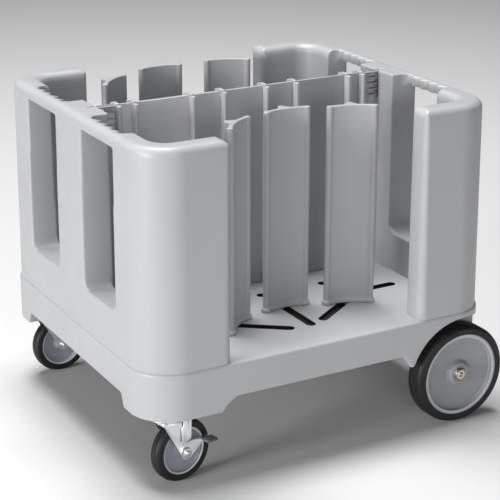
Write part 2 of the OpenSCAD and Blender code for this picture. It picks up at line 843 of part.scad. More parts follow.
// The washer and the cap that keep a wheel on the axle.
module axle_cap() {
  washer_y = boss_in - play;
  color(zinc) on_axle() rotate_extrude($fn = arc_n) {
    ring_2d(axle_d / 2, washer_d / 2, washer_y - washer_t, washer_y);
    ring_2d(axle_d / 2, axle_cap_d / 2, washer_y - washer_t - axle_cap_in, washer_y - washer_t);
    ring_2d(0, axle_cap_d / 2, washer_y - washer_t - axle_cap_t, washer_y - washer_t - axle_cap_in);
  }
}

module axle() {
  end_in = boss_in - play - washer_t - axle_cap_in;
  shoulder_in = wheel_w - boss_in + play;
  color(zinc) {
    translate([axle_x, 0, wheel_r]) rotate([90, 0, 0])
      cylinder(d = axle_d, h = 2 * (wheel_face_y - end_in), center = true, $fn = arc_n);
    both_sides() on_axle() translate([0, 0, shoulder_in])
      cylinder(d = shoulder_d, h = shoulder_w, $fn = arc_n);
  }
}

// The two steel hangers that carry the axle below the pads.
module axle_hangers() {
  color(zinc) for (s = sides) difference() {
    union() {
      translate([axle_x - hanger_l / 2, s * hanger_y - hanger_w / 2, skirt_z - hanger_t])
        cube([hanger_l, hanger_w, hanger_t]);
      across(s * hanger_y - hanger_t / 2, s * hanger_y + hanger_t / 2) {
        polygon([[axle_x - hanger_bolt_pitch / 2 + head_d, skirt_z - hanger_t / 2],
          [axle_x + hanger_bolt_pitch / 2 - head_d, skirt_z - hanger_t / 2],
          [axle_x + hanger_eye_r, wheel_r], [axle_x - hanger_eye_r, wheel_r]]);
        translate([axle_x, wheel_r]) circle(r = hanger_eye_r, $fn = arc_n);
      }
    }
    translate([axle_x, s * hanger_y, wheel_r]) rotate([90, 0, 0])
      cylinder(d = axle_d + 2 * hole_play, h = hanger_w, center = true, $fn = arc_n);
    for (i = sides)
      translate([axle_x + i * hanger_bolt_pitch / 2, s * hanger_y, 0])
        rod(bolt_d + 2 * hole_play, skirt_z - hanger_t - over, skirt_z + over);
  }
}

module hanger_bolts() {
  color(zinc) at_hanger_bolts() bolt_up(bolt_d, skirt_z - hanger_t, hanger_t + blind_in);
}

// A caster's own place: its swivel axis, turned to its heading at rest.
module at_caster(s, swivel) {
  translate([caster_x, s * caster_y, 0]) rotate(swivel) children();
}

module caster_plate(s) {
  color(zinc) difference() {
    union() {
      translate([caster_x - plate_l / 2, s * caster_y - plate_w / 2, plate_under_z])
        cube([plate_l, plate_w, plate_t]);
      translate([caster_x, s * caster_y, 0]) rod(race_d, fork_top_z + play, plate_under_z, arc_n);
    }
    translate([caster_x, s * caster_y, 0])
      rod(kingpin_d + 2 * hole_play, fork_top_z, lobe_z + over);
    at_plate_bolts(s) rod(plate_bolt_d + 2 * hole_play, plate_under_z - over, lobe_z + over);
  }
}

module plate_bolts(s) {
  color(zinc) at_plate_bolts(s) {
    rod(plate_bolt_d, plate_under_z, lobe_z + blind_in);
    rod(head_d, plate_under_z - head_h, plate_under_z, hex_n);
  }
}

module kingpin(s) {
  color(zinc) translate([caster_x, s * caster_y, 0]) {
    rod(kingpin_d, crown_under_z - play - pin_head_t, lobe_z, arc_n);
    rod(pin_head_d, crown_under_z - play - pin_head_t, crown_under_z - play, arc_n);
  }
}

// One fork leg: a tapering plate that ends round the axle bolt, with a raised rib.
module fork_leg() {
  across(-leg_out, -leg_in) {
    polygon([[-fork_back_w, crown_under_z + over], [fork_front_w, crown_under_z + over],
      [trail + fork_eye_r, caster_wheel_r], [trail - fork_eye_r, caster_wheel_r]]);
    translate([trail, caster_wheel_r]) circle(r = fork_eye_r, $fn = small_n);
  }
  across(-leg_out - fork_rib_t, -leg_out + over)
    translate([trail - fork_rib_w / 2, caster_wheel_r + fork_eye_r + brake_t])
      square([fork_rib_w, crown_under_z - caster_wheel_r - fork_eye_r - brake_t]);
}

module fork(s, swivel) {
  color(zinc) at_caster(s, swivel) difference() {
    union() {
      rod(race_d, crown_under_z, fork_top_z, arc_n);
      translate([-fork_back_w, -leg_out, crown_under_z])
        cube([fork_back_w + fork_front_w, 2 * leg_out, crown_t]);
      both_sides() fork_leg();
    }
    rod(kingpin_d + 2 * shaft_play, crown_under_z - over, fork_top_z + over, arc_n);
    translate([trail, 0, caster_wheel_r]) rotate([90, 0, 0])
      cylinder(d = caster_bolt_d + 2 * hole_play, h = 2 * (leg_out + over), center = true, $fn = small_n);
  }
}

// The axle bolt of a caster, its head outside the brake lever's place.
module caster_bolt(s, swivel) {
  head_y = leg_out + play + brake_t + play;
  color(zinc) at_caster(s, swivel) translate([trail, 0, caster_wheel_r]) rotate([90, 0, 0]) {
    translate([0, 0, -leg_out - head_h])
      cylinder(d = caster_bolt_d, h = leg_out + 2 * head_h + head_y, $fn = arc_n);
    for (y = [head_y, -leg_out - head_h])
      translate([0, 0, y]) cylinder(d = head_d, h = head_h, $fn = hex_n);
  }
}

// A caster wheel's own place: its axle, with its front face first.
module on_caster_axle(s, swivel) {
  at_caster(s, swivel) translate([trail, -caster_w / 2, caster_wheel_r]) rotate([-90, 0, 0]) children();
}

module caster_hub(s, swivel) {
  color(wheel_grey) on_caster_axle(s, swivel) rotate_extrude($fn = wheel_n)
    hub_2d(caster_bolt_d / 2 + shaft_play, caster_boss_r, caster_band, caster_hub_r,
      caster_w, hub_in, caster_dish, 0);
}

module caster_tyre(s, swivel) {
  color(tyre_black) on_caster_axle(s, swivel) rotate_extrude($fn = wheel_n)
    tyre_2d(caster_hub_r, caster_wheel_r, caster_w, caster_tyre_r);
}

// The brake lever beside the fork leg, turning on the axle bolt.
module brake_lever() {
  color(zinc) at_caster(-1, front_swivel_deg)
    across(-leg_out - play - brake_t, -leg_out - play) difference() {
      translate([trail, caster_wheel_r]) {
        circle(r = brake_eye_r, $fn = arc_n);
        polygon([[0, brake_eye_r], [0, -brake_eye_r],
          [brake_l, brake_rise - brake_tip_r], [brake_l, brake_rise + brake_tip_r]]);
        translate([brake_l, brake_rise]) circle(r = brake_tip_r, $fn = small_n);
      }
      translate([trail, caster_wheel_r]) circle(d = caster_bolt_d + 2 * shaft_play, $fn = arc_n);
    }
}

module brake_pedal() {
  lever_y = -leg_out - play - brake_t;
  color(pedal_dark) at_caster(-1, front_swivel_deg)
    translate([trail + brake_l - pedal_l / 2, lever_y - pedal_w, caster_wheel_r + brake_rise - pedal_t / 2])
      cube([pedal_l, pedal_w, pedal_t]);
}

// The placed pieces, one module for each.
module tower_front_left() { tower(front_left_at, left_turn_deg); }
module tower_front_left_bolt() { guide_bolt(front_left_at, left_turn_deg); }
module tower_front_left_nut() { guide_nut(front_left_at, left_turn_deg); }
module tower_front_mid() { tower(front_mid_at, mid_turn_deg); }
module tower_front_mid_bolt() { guide_bolt(front_mid_at, mid_turn_deg); }
module tower_front_mid_nut() { guide_nut(front_mid_at, mid_turn_deg); }
module tower_front_right() { tower(front_right_at, right_turn_deg); }
module tower_front_right_bolt() { guide_bolt(front_right_at, right_turn_deg); }
module tower_front_right_nut() { guide_nut(front_right_at, right_turn_deg); }
module tower_back_left() { tower(back_left_at, left_turn_deg); }
module tower_back_left_bolt() { guide_bolt(back_left_at, left_turn_deg); }
module tower_back_left_nut() { guide_nut(back_left_at, left_turn_deg); }
module tower_back_mid() { tower(back_mid_at, mid_turn_deg); }
module tower_back_mid_bolt() { guide_bolt(back_mid_at, mid_turn_deg); }
module tower_back_mid_nut() { guide_nut(back_mid_at, mid_turn_deg); }
module tower_back_right() { tower(back_right_at, right_turn_deg); }
module tower_back_right_bolt() { guide_bolt(back_right_at, right_turn_deg); }
module tower_back_right_nut() { guide_nut(back_right_at, right_turn_deg); }
module axle_cap_front() { axle_cap(); }
module big_tyre_front() { big_tyre(); }
module big_hub_front() { big_hub(); }
module big_bush_front() { big_bush(); }
module axle_cap_back() { mirror([0, 1, 0]) axle_cap(); }
module big_tyre_back() { mirror([0, 1, 0]) big_tyre(); }
module big_hub_back() { mirror([0, 1, 0]) big_hub(); }
module big_bush_back() { mirror([0, 1, 0]) big_bush(); }
module caster_plate_front() { caster_plate(-1); }
module plate_bolts_front() { plate_bolts(-1); }
module kingpin_front() { kingpin(-1); }
module fork_front() { fork(-1, front_swivel_deg); }
module caster_bolt_front() { caster_bolt(-1, front_swivel_deg); }
module caster_hub_front() { caster_hub(-1, front_swivel_deg); }
module caster_tyre_front() { caster_tyre(-1, front_swivel_deg); }
module caster_plate_back() { caster_plate(1); }
module plate_bolts_back() { plate_bolts(1); }
module kingpin_back() { kingpin(1); }
module fork_back() { fork(1, back_swivel_deg); }
module caster_bolt_back() { caster_bolt(1, back_swivel_deg); }
module caster_hub_back() { caster_hub(1, back_swivel_deg); }
module caster_tyre_back() { caster_tyre(1, back_swivel_deg); }

// Moves the whole caddy so that its middle is at the origin.
module placed() { translate([shift_x, 0, 0]) children(); }

placed() base();
placed() wall_left();
placed() wall_right();
placed() wall_bolts_left();
placed() wall_bolts_right();
placed() divider();
placed() divider_flanges();
placed() tower_front_left();
placed() tower_front_left_bolt();
placed() tower_front_left_nut();
placed() tower_front_mid();
placed() tower_front_mid_bolt();
placed() tower_front_mid_nut();
placed() tower_front_right();
placed() tower_front_right_bolt();
placed() tower_front_right_nut();
placed() tower_back_left();
placed() tower_back_left_bolt();
placed() tower_back_left_nut();
placed() tower_back_mid();
placed() tower_back_mid_bolt();
placed() tower_back_mid_nut();
placed() tower_back_right();
placed() tower_back_right_bolt();
placed() tower_back_right_nut();
placed() axle();
placed() axle_hangers();
placed() hanger_bolts();
placed() axle_cap_front();
placed() axle_cap_back();
placed() big_tyre_front();
placed() big_hub_front();
placed() big_bush_front();
placed() big_tyre_back();
placed() big_hub_back();
placed() big_bush_back();
placed() caster_plate_front();
placed() plate_bolts_front();
placed() kingpin_front();
placed() fork_front();
placed() caster_bolt_front();
placed() caster_hub_front();
placed() caster_tyre_front();
placed() brake_lever();
placed() brake_pedal();
placed() caster_plate_back();
placed() plate_bolts_back();
placed() kingpin_back();
placed() fork_back();
placed() caster_bolt_back();
placed() caster_hub_back();
placed() caster_tyre_back();
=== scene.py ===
"""A dish caddy of grey moulded plastic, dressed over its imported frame."""
import json
import math

import bmesh
import bpy
from mathutils import Matrix, Vector


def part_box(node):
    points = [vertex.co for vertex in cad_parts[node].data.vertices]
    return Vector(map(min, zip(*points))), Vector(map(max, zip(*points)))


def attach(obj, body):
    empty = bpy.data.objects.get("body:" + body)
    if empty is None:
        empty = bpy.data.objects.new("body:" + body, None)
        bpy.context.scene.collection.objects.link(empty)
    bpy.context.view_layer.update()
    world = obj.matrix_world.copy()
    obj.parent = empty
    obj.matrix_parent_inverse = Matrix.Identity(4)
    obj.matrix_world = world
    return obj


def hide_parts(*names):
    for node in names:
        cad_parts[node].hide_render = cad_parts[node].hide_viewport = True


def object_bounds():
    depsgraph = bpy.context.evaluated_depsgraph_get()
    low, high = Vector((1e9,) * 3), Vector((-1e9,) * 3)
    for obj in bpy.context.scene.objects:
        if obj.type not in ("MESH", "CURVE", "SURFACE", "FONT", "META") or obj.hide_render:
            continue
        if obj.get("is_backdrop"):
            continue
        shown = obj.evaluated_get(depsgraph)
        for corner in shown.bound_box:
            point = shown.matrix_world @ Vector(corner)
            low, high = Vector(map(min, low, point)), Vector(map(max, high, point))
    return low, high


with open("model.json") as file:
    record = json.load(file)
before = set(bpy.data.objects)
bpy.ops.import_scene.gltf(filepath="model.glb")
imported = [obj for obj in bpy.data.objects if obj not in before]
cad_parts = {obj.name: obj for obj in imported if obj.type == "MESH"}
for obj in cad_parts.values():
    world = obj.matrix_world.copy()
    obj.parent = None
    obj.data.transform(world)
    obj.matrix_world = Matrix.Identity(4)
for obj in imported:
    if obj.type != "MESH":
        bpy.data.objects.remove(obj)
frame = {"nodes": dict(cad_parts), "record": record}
cad_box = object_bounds()
scene = bpy.context.scene

# Camera
# It stands where the photograph was taken from, with a long lens on the square frame. Its place and aim
# were worked out from the parallel edges of the base and the walls.
CAMERA_AT = (-1.7953, -3.2455, 1.6995)
CAMERA_PITCH = 19.575
CAMERA_HEADING = 28.965
CAMERA_LENS = 113.26
CAMERA_SENSOR = 36
camera = bpy.data.objects.new("camera", bpy.data.cameras.new("camera"))
camera.location = CAMERA_AT
camera.rotation_euler = (math.radians(90 - CAMERA_PITCH), 0, -math.radians(CAMERA_HEADING))
camera.data.lens = CAMERA_LENS
camera.data.sensor_width = CAMERA_SENSOR
scene.collection.objects.link(camera)
scene.camera = camera

# Floor and light
# A plain pale floor under soft square lamps: a strong one on the left with a weak one beside it, one in
# front and one overhead.
FLOOR_HALF = 20
FLOOR_TONE = 0.62
FLOOR_ROUGHNESS = 0.9
floor_mesh = bpy.data.meshes.new("floor")
corners = [(x * FLOOR_HALF, y * FLOOR_HALF, 0) for x, y in ((-1, -1), (1, -1), (1, 1), (-1, 1))]
floor_mesh.from_pydata(corners, [], [(0, 1, 2, 3)])
floor = bpy.data.objects.new("floor", floor_mesh)
scene.collection.objects.link(floor)
floor_paint = bpy.data.materials.new("floor_paint")
floor_paint.use_nodes = True
floor_shader = floor_paint.node_tree.nodes["Principled BSDF"]
floor_shader.inputs["Base Color"].default_value = (FLOOR_TONE, FLOOR_TONE, FLOOR_TONE, 1)
floor_shader.inputs["Roughness"].default_value = FLOOR_ROUGHNESS
floor.data.materials.append(floor_paint)
floor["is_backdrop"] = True

SKY_COLOR = (0.93, 0.95, 1.0, 1)
SKY_STRENGTH = 0.07
world = bpy.data.worlds.new("world")
world.use_nodes = True
sky = world.node_tree.nodes["Background"]
sky.inputs["Color"].default_value = SKY_COLOR
sky.inputs["Strength"].default_value = SKY_STRENGTH
scene.world = world
scene.view_settings.view_transform = "Standard"

# name, place, aim, power in watts, size in metres
LAMPS = [
    ("left", (-6.5, -1.4, 1.4), (-0.3, 0.0, 0.45), 330, 1.8),
    ("left_front", (-5.2, -3.6, 1.4), (-0.3, 0.0, 0.45), 42, 1.6),
    ("front", (-1.6, -6.8, 1.6), (0.0, 0.0, 0.4), 116, 2.4),
    ("top", (-0.3, 1.0, 6.7), (0.0, 0.0, 0.3), 620, 3.2),
]
for name, place, aim, power, size in LAMPS:
    lamp = bpy.data.objects.new(name, bpy.data.lights.new(name, "AREA"))
    lamp.data.energy = power
    lamp.data.size = size
    lamp.location = place
    lamp.rotation_euler = (Vector(aim) - Vector(place)).to_track_quat("-Z", "Y").to_euler()
    scene.collection.objects.link(lamp)


# Tray base
# The deck, its skirt, the corner lobes and the arches are one moulding of grey polyethylene with a fine
# pebbled skin and rolled edges. The slots for the towers are cut into it afterwards from above and below,
# leaving a thin web in each; the slot walls and webs are painted near-black as painted shade.
COAT_ROUGHNESS = 0.25
FLECK_SCALE = 650
FLECK_BAND = (0.34, 0.62)
FLECK_RISE = 0.4
GLOSS_SPREAD = 0.06
SCRATCH_STRENGTH = 0.35


def finish(name, color, roughness, metallic=0.0, grain=900, grain_depth=0.00006, patch=6, patch_mix=0.05,
           fleck=0.0, scratch=0.0, coat=0.0, specular=0.5):
    """A surface with fine grain in its bump, soft patches and flecks in its colour and uneven gloss."""
    paint = bpy.data.materials.new(name)
    paint.use_nodes = True
    tree = paint.node_tree
    shader = tree.nodes["Principled BSDF"]
    shader.inputs["Metallic"].default_value = metallic
    shader.inputs["Coat Weight"].default_value = coat
    shader.inputs["Coat Roughness"].default_value = COAT_ROUGHNESS
    shader.inputs["Specular IOR Level"].default_value = specular
    place = tree.nodes.new("ShaderNodeTexCoord")

    def noise(scale, detail):
        node = tree.nodes.new("ShaderNodeTexNoise")
        node.inputs["Scale"].default_value = scale
        node.inputs["Detail"].default_value = detail
        tree.links.new(place.outputs["Object"], node.inputs["Vector"])
        return node.outputs["Fac"]

    def spread(value, low, high, start=0.3, end=0.7):
        node = tree.nodes.new("ShaderNodeMapRange")
        node.inputs["From Min"].default_value = start
        node.inputs["From Max"].default_value = end
        node.inputs["To Min"].default_value = low
        node.inputs["To Max"].default_value = high
        tree.links.new(value, node.inputs["Value"])
        return node.outputs["Result"]

    def shaded(color_in, value):
        node = tree.nodes.new("ShaderNodeHueSaturation")
        if isinstance(color_in, tuple):
            node.inputs["Color"].default_value = color_in
        else:
            tree.links.new(color_in, node.inputs["Color"])
        tree.links.new(value, node.inputs["Value"])
        return node.outputs["Color"]

    def bumped(height, strength, below=None):
        node = tree.nodes.new("ShaderNodeBump")
        node.inputs["Strength"].default_value = strength
        node.inputs["Distance"].default_value = grain_depth
        tree.links.new(height, node.inputs["Height"])
        if below:
            tree.links.new(below, node.inputs["Normal"])
        return node.outputs["Normal"]

    tone = shaded((*color, 1), spread(noise(patch, 4), 1 - patch_mix, 1 + patch_mix))
    if fleck:
        tone = shaded(tone, spread(noise(FLECK_SCALE, 2), 1 - fleck, 1 + fleck * FLECK_RISE, *FLECK_BAND))
    tree.links.new(tone, shader.inputs["Base Color"])
    gloss = spread(noise(patch * 5, 6), roughness - GLOSS_SPREAD, roughness + GLOSS_SPREAD)
    tree.links.new(gloss, shader.inputs["Roughness"])
    normal = bumped(noise(grain, 3), 1.0)
    if scratch:
        lines = tree.nodes.new("ShaderNodeTexWave")
        lines.inputs["Scale"].default_value = scratch
        lines.inputs["Distortion"].default_value = 6
        lines.inputs["Detail"].default_value = 4
        tree.links.new(place.outputs["Object"], lines.inputs["Vector"])
        normal = bumped(lines.outputs["Fac"], SCRATCH_STRENGTH, normal)
    tree.links.new(normal, shader.inputs["Normal"])
    return paint


moulding = finish("moulding", (0.40, 0.404, 0.416), 0.42, grain=460, grain_depth=0.00016, patch=4,
                  patch_mix=0.03, fleck=0.07)
# A near-black paint that stands for shade: painted shade in the slots and under the brake bracket's edges.
painted_shade = finish("painted_shade", (0.012, 0.012, 0.013), 0.85, grain=300, patch=20, patch_mix=0.2)


def piece_from(name, work):
    """A new object with the mesh that a bmesh holds."""
    mesh = bpy.data.meshes.new(name)
    work.to_mesh(mesh)
    work.free()
    piece = bpy.data.objects.new(name, mesh)
    scene.collection.objects.link(piece)
    return piece


JOIN_GAP = 0.00001


def merged(node):
    """A bmesh of a node's surface, its loose triangles joined up."""
    work = bmesh.new()
    work.from_mesh(frame["nodes"][node].data)
    bmesh.ops.remove_doubles(work, verts=work.verts, dist=JOIN_GAP)
    work.verts.index_update()
    return work


NO_SIZE = 0.000002


def bake_modifiers(piece):
    """Replaces a piece's mesh by the one its modifiers make, less faces of no size or folded on another."""
    graph = bpy.context.evaluated_depsgraph_get()
    mesh = bpy.data.meshes.new_from_object(piece.evaluated_get(graph))
    piece.modifiers.clear()
    piece.data = mesh
    work = bmesh.new()
    work.from_mesh(mesh)
    bmesh.ops.dissolve_degenerate(work, dist=NO_SIZE, edges=work.edges)
    work.verts.index_update()
    by_corners = {}
    for face in work.faces:
        by_corners.setdefault(frozenset(vert.index for vert in face.verts), []).append(face)
    folded = [face for faces in by_corners.values() if len(faces) > 1 for face in faces]
    bmesh.ops.delete(work, geom=folded, context="FACES")
    work.to_mesh(mesh)
    work.free()
    mesh.shade_smooth()
    return piece


def softened(piece, voxel, passes, keep):
    """Rolls every edge of a piece over, as a moulding comes from its tool."""
    remesh = piece.modifiers.new("remesh", "REMESH")
    remesh.mode = "VOXEL"
    remesh.voxel_size = voxel
    smooth = piece.modifiers.new("smooth", "SMOOTH")
    smooth.factor = 0.5
    smooth.iterations = passes
    if keep < 1:
        thin = piece.modifiers.new("thin", "DECIMATE")
        thin.ratio = keep
    return bake_modifiers(piece)


DECK_TOP = 0.290
DECK_UNDER = 0.278
DECK_LEVEL_BAND = 0.0002
SLOT_REACH = (0.03, 0.2)
SLOT_WIDTH = 0.024
SLOT_STEPS = 10
SLOT_WEB = (0.279, 0.2798)
SLOT_OVERRUN = 0.01
SLOT_CREASE = 40
BASE_VOXEL = 0.0034
BASE_KEEP = 0.45


def slot_outlines():
    """The outlines of the deck's slots, each as its corners in order, read off the CAD deck."""
    work = merged("base")
    deck = [
        face for face in work.faces
        if face.normal.z > 0.99 and abs(face.calc_center_median().z - DECK_TOP) < DECK_LEVEL_BAND
    ]
    in_deck = set(deck)
    after = {}
    for face in deck:
        for loop in face.loops:
            if not any(other in in_deck for other in loop.edge.link_faces if other is not face):
                after[loop.vert.index] = (loop.link_loop_next.vert.index, loop.vert.co.copy())
    work.free()
    outlines = []
    while after:
        start = next(iter(after))
        step, points = start, []
        while step in after:
            step, point = after.pop(step)
            points.append(point)
        reach = max(max(p[k] for p in points) - min(p[k] for p in points) for k in (0, 1))
        if SLOT_REACH[0] < reach < SLOT_REACH[1]:
            outlines.append(points)
    return outlines


def wide_slot(outline, width):
    """The plan of a slot between the same two ends, with round ends and the given width."""
    first, last = max(((a, b) for a in outline for b in outline), key=lambda pair: (pair[0] - pair[1]).length)
    along = (last - first).normalized()
    across = Vector((-along.y, along.x, 0))
    plan = []
    for end, way, hand in ((first, along, 1), (last, -along, -1)):
        centre = end + way * width / 2
        for i in range(SLOT_STEPS + 1):
            angle = math.pi * i / SLOT_STEPS
            back = way * math.sin(angle) * width / 2
            plan.append(centre - back + across * math.cos(angle) * width / 2 * hand)
    return plan


def add_prism(work, outline, low, high):
    """Adds an upright closed block over an outline."""
    rings = [[work.verts.new((point.x, point.y, z)) for point in outline] for z in (low, high)]
    faces = [work.faces.new(rings[0]), work.faces.new(rings[1])]
    for i in range(len(outline)):
        k = (i + 1) % len(outline)
        faces.append(work.faces.new((rings[0][i], rings[0][k], rings[1][k], rings[1][i])))
    bmesh.ops.recalc_face_normals(work, faces=faces)


outlines = slot_outlines()
work = merged("base")
for outline in outlines:
    add_prism(work, wide_slot(outline, SLOT_WIDTH), DECK_UNDER, DECK_TOP)
base = softened(piece_from("base_skin", work), BASE_VOXEL, 1, BASE_KEEP)
# The cutter leaves a thin web in each slot, and all its faces pass on the near-black paint: painted shade on
# the slot walls and webs.
work = bmesh.new()
for outline in outlines:
    plan = wide_slot(outline, SLOT_WIDTH)
    add_prism(work, plan, SLOT_WEB[1], DECK_TOP + SLOT_OVERRUN)
    add_prism(work, plan, DECK_UNDER - SLOT_OVERRUN, SLOT_WEB[0])
cutter = piece_from("slot_cutter", work)
for paint in (moulding, painted_shade):
    base.data.materials.append(paint)
    cutter.data.materials.append(paint)
for face in cutter.data.polygons:
    face.material_index = 1
cut = base.modifiers.new("slots", "BOOLEAN")
cut.operation = "DIFFERENCE"
cut.solver = "EXACT"
cut.object = cutter
base.modifiers.new("triangles", "TRIANGULATE").min_vertices = 5
bake_modifiers(base)
bpy.data.objects.remove(cutter)
base.data.set_sharp_from_angle(angle=math.radians(SLOT_CREASE))
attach(base, "tray")
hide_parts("base")

# End walls
# Two double-skinned mouldings of the same grey plastic with windows, scalloped grip bars and divider posts,
# bolted to the deck. Their feet are sunk a little into it, and the posts are blocks with crisp edges.
MM = 0.001


def settle(piece, body, slot, paints, *nodes):
    """Gives a finished piece its paints, its body and the nodes it stands for. Its record slot is not used.
    """
    piece.data.materials.clear()
    for paint in paints:
        piece.data.materials.append(paint)
    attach(piece, body)
    if nodes:
        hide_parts(*nodes)
    return piece


def add_block(work, low, high):
    """Adds a closed block between two corners, in millimetres."""
    made = bmesh.ops.create_cube(work, size=1)["verts"]
    for vert in made:
        for k in range(3):
            vert.co[k] = (high[k] if vert.co[k] > 0 else low[k]) * MM


WALL_ENDS = {"left": (-485.0, 1), "right": (445.0, -1)}
POST_X = (54.0, 81.0)
POST_Y = (7.0, 73.0)
POST_FOOT = 300
WALL_TOP = 801.0
WALL_FOOT = 290.5
WALL_SUNK = 5.0
GRIP_X = (24.0, 58.0)
GRIP_Y = (79.0, 242.0)
GRIP_Z = 768.0
GRIP_PASSES = 36
WALL_VOXEL = 0.0031
WALL_KEEP = 0.5
for side, (end_x, inward) in WALL_ENDS.items():
    node = "wall_" + side
    work = merged(node)
    for vert in work.verts:
        if vert.co.z < WALL_FOOT * MM:
            vert.co.z -= WALL_SUNK * MM
    post_x = sorted(end_x + inward * x for x in POST_X)
    for y0, y1 in (POST_Y, (-POST_Y[1], -POST_Y[0])):
        add_block(work, (post_x[0], y0, POST_FOOT), (post_x[1], y1, WALL_TOP))
    skin = softened(piece_from(node + "_skin", work), WALL_VOXEL, 1, 1)
    grip = skin.vertex_groups.new(name="grip")
    inside = [
        vert.index for vert in skin.data.vertices
        if GRIP_X[0] < (vert.co.x / MM - end_x) * inward < GRIP_X[1]
        and GRIP_Y[0] < abs(vert.co.y / MM) < GRIP_Y[1] and vert.co.z / MM > GRIP_Z
    ]
    grip.add(inside, 1.0, "REPLACE")
    soft = skin.modifiers.new("soft", "SMOOTH")
    soft.vertex_group = "grip"
    soft.factor = 0.5
    soft.iterations = GRIP_PASSES
    thin = skin.modifiers.new("thin", "DECIMATE")
    thin.ratio = WALL_KEEP
    bake_modifiers(skin)
    skin.vertex_groups.clear()
    settle(skin, "tray", "moulding", [moulding], node)

# Towers
# Six bowed uprights moulded in the same grey, each with edge beads, a back ridge and a thick foot band. Each
# slides on its own guide bolt.
TOWER_VOXEL = 0.0018
TOWER_KEEP = 0.5
for spot in ("front_left", "front_mid", "front_right", "back_left", "back_mid", "back_right"):
    node = "tower_" + spot
    skin = softened(piece_from(node + "_skin", merged(node)), TOWER_VOXEL, 1, TOWER_KEEP)
    settle(skin, spot + "_tower", "moulding", [moulding], node)

# Divider
# A moulded grey panel stiffened by upright flanges with tabs on top. At both of its ends rungs, with thin
# ledges at their height, bridge an open gap. It hangs by the rungs in the posts' pockets and lifts out.
PANEL_MIDDLE = -20.0
PANEL_HALF = 375.0
PANEL_T = 8.0
PANEL_Z = (292.5, 799.0)
PANEL_END = 363.0
RUNG_END = 402.0
RUNG_SIZE = (8.0, 6.0)
RUNG_PITCH = 14.7
RUNG_COUNT = 5
LEDGE_REACH = (338.0, 382.5)
LEDGE_SIZE = (18.0, 3.2)
FLANGE_SHARES = (0.1547, 0.3787, 0.776, 0.888)
FLANGE_T = 9.0
FLANGE_OUT = 26.0
TAB_OUT = 13.0
TAB_H = 4.0
TAB_ROOT = 1
RUNG_ROOT = 2
PANEL_EDGE = 0.0014
FLANGE_EDGE = 0.0016
RUNG_EDGE = 0.0009


def edge_rounded(piece, width, segments, angle=35):
    """Rounds a piece's sharp edges to a small radius."""
    bevel = piece.modifiers.new("bevel", "BEVEL")
    bevel.width = width
    bevel.segments = segments
    bevel.limit_method = "ANGLE"
    bevel.angle_limit = math.radians(angle)
    bevel.harden_normals = True
    bake_modifiers(piece)
    piece.data.set_sharp_from_angle(angle=math.radians(angle))
    return piece


work = bmesh.new()
panel_low = (PANEL_MIDDLE - PANEL_END, -PANEL_T / 2, PANEL_Z[0])
add_block(work, panel_low, (PANEL_MIDDLE + PANEL_END, PANEL_T / 2, PANEL_Z[1]))
for end in (-1, 1):
    for share in FLANGE_SHARES:
        x = PANEL_MIDDLE + end * PANEL_HALF * share
        low = (x - FLANGE_T / 2, -TAB_OUT, PANEL_Z[1] - TAB_ROOT)
        add_block(work, low, (x + FLANGE_T / 2, TAB_OUT, PANEL_Z[1] + TAB_H))
panel = edge_rounded(piece_from("divider_skin", work), PANEL_EDGE, 3)
settle(panel, "divider_panel", "moulding", [moulding], "divider")

work = bmesh.new()
for end in (-1, 1):
    for share in FLANGE_SHARES:
        x = PANEL_MIDDLE + end * PANEL_HALF * share
        for y0, y1 in ((PANEL_T / 2, FLANGE_OUT), (-FLANGE_OUT, -PANEL_T / 2)):
            add_block(work, (x - FLANGE_T / 2, y0, PANEL_Z[0]), (x + FLANGE_T / 2, y1, PANEL_Z[1]))
flanges = edge_rounded(piece_from("divider_flanges_skin", work), FLANGE_EDGE, 3)
settle(flanges, "divider_panel", "moulding", [moulding], "divider_flanges")


def tree_with_inputs(name, inputs):
    """A geometry node tree with its ends in place and named inputs for sizes."""
    tree = bpy.data.node_groups.new(name, "GeometryNodeTree")
    tree.interface.new_socket("Geometry", in_out="INPUT", socket_type="NodeSocketGeometry")
    for label, kind, value in inputs:
        socket = tree.interface.new_socket(label, in_out="INPUT", socket_type=kind)
        if value is not None:
            socket.default_value = value
    tree.interface.new_socket("Geometry", in_out="OUTPUT", socket_type="NodeSocketGeometry")
    return tree, tree.nodes.new("NodeGroupInput"), tree.nodes.new("NodeGroupOutput")


def grown(name, points, tree, values):
    """The plain mesh that a geometry node tree makes on a set of points."""
    mesh = bpy.data.meshes.new(name)
    mesh.from_pydata(points, [], [])
    piece = bpy.data.objects.new(name, mesh)
    scene.collection.objects.link(piece)
    modifier = piece.modifiers.new(name, "NODES")
    modifier.node_group = tree
    for item in tree.interface.items_tree:
        if item.in_out == "INPUT" and item.name in values:
            modifier[item.identifier] = values[item.name]
    return bake_modifiers(piece)


